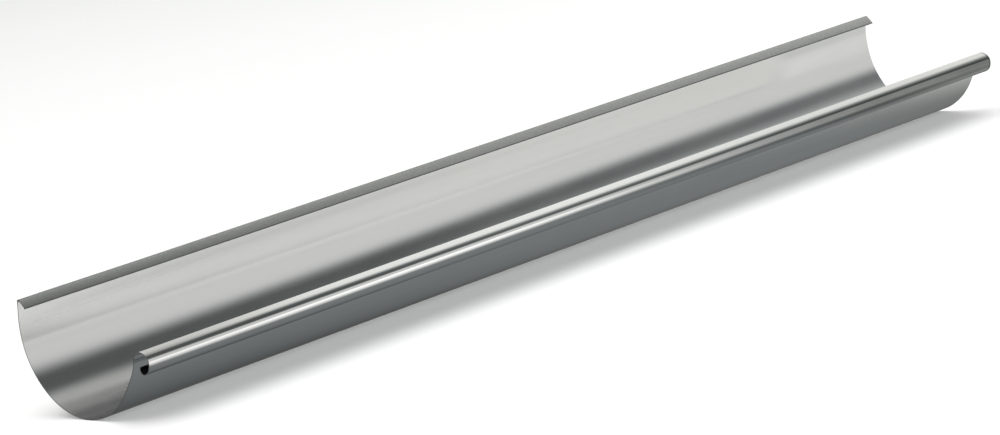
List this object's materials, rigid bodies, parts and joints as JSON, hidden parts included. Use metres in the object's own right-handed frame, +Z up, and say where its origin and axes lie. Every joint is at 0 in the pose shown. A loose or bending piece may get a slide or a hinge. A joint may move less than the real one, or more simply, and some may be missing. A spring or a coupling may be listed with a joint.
{
  "type": "half-round gutter section",
  "caption": "Straight length of half-round eaves gutter in bright bare metal sheet, taken as zinc, with a round rolled bead along the front edge and a narrow inward fold along the back, open at both ends.",
  "frame": {"origin": "centre of the length and width, on the floor under the round bottom", "axes": "+X along the gutter, +Z up, -Y the front with the rolled bead, +Y the back with the narrow fold"},
  "size_m": [1, 0.1432, 0.0909],
  "materials": {
    "zinc_sheet": null
  },
  "bodies": {
    "root": {"gutter_section": "zinc_sheet"}
  },
  "joints": []
}
